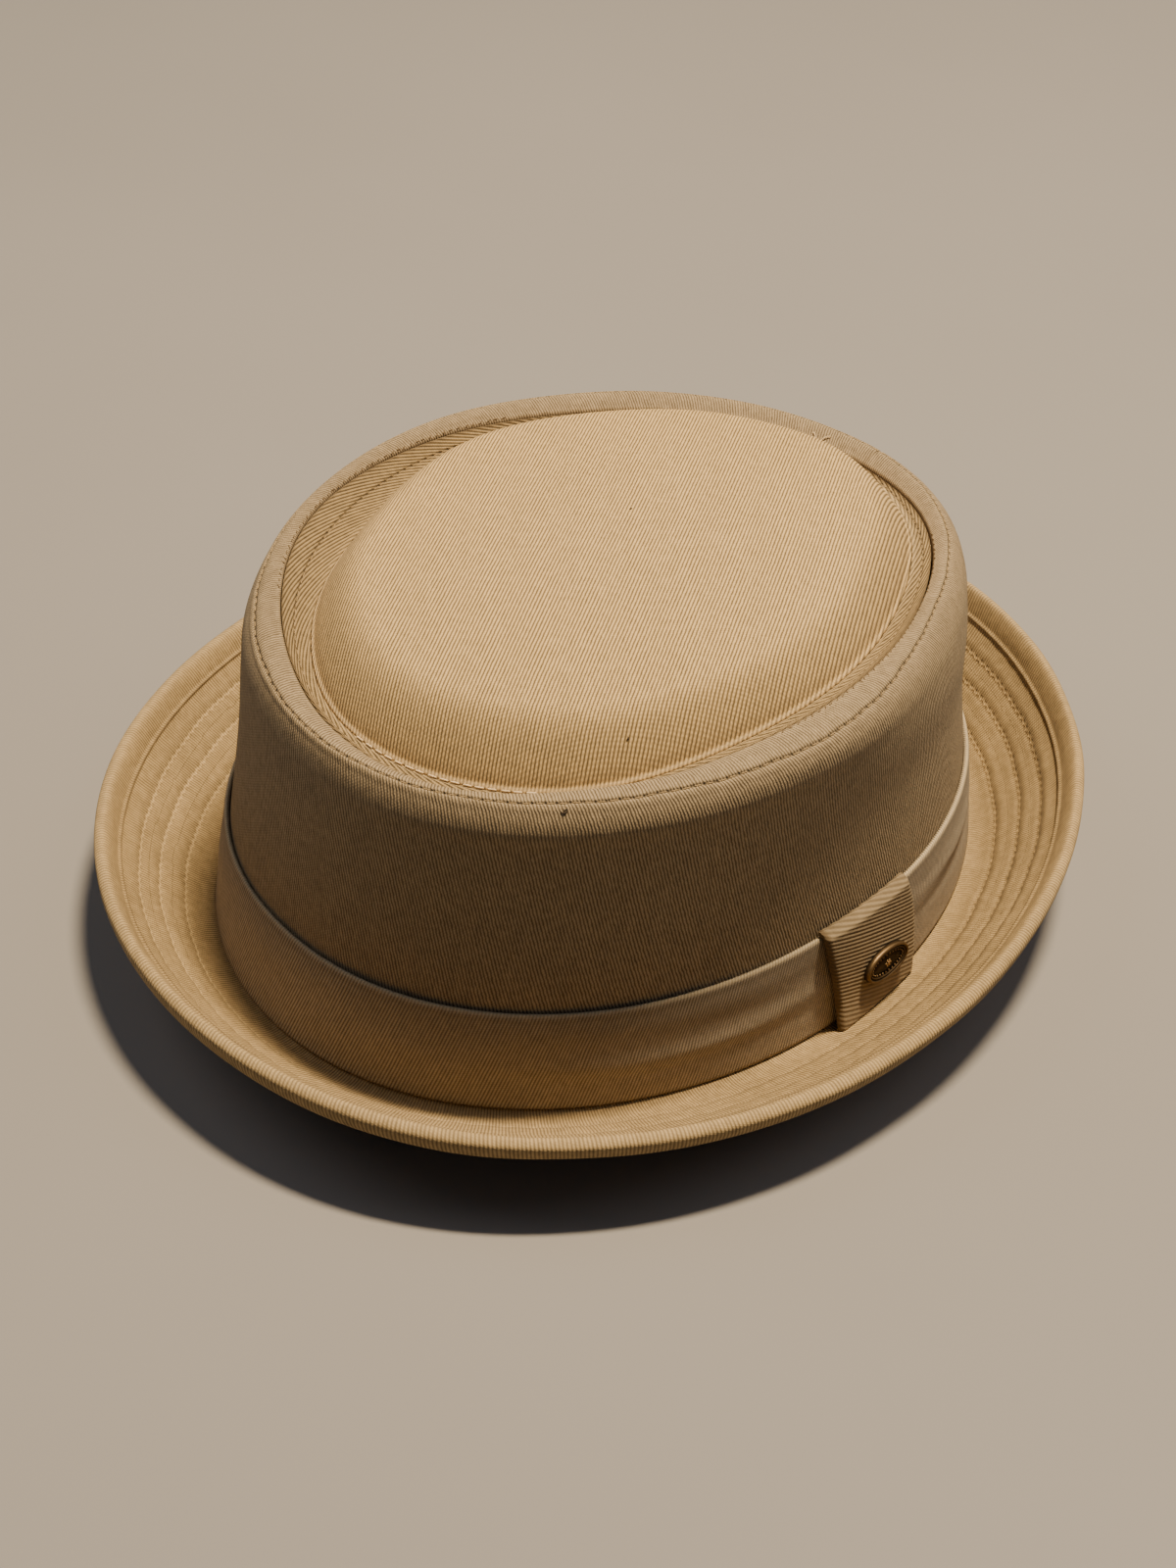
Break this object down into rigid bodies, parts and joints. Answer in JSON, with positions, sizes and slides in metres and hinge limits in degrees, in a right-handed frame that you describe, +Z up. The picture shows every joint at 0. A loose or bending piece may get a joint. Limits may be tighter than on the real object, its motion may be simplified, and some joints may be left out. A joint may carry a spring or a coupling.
{
  "type": "pork pie hat",
  "caption": "Cotton twill pork pie hat with a domed tip set inside a rolled rim, an upturned brim, a cloth band and a keeper tab with a small brass badge.",
  "frame": {"origin": "on the surface it rests on, under the middle of the brim's outline", "axes": "+Z up, the front of the hat towards -Y, the wearer's left side with the tab towards +X"},
  "size_m": [0.2368, 0.2644, 0.099],
  "materials": {
    "crown_side": "khaki cotton twill",
    "rim_gusset": "khaki cotton twill cut on the bias",
    "crown_tip": "khaki cotton twill",
    "brim": "khaki cotton twill, topstitched",
    "hat_band": "khaki cotton twill",
    "band_keeper": "coarse ribbed cotton",
    "badge": "antique brass"
  },
  "bodies": {
    "root": {"crown_side": "crown_side", "rim_gusset": "rim_gusset", "crown_tip": "crown_tip", "brim": "brim", "hat_band": "hat_band", "band_keeper": "band_keeper", "badge": "badge"}
  },
  "joints": []
}
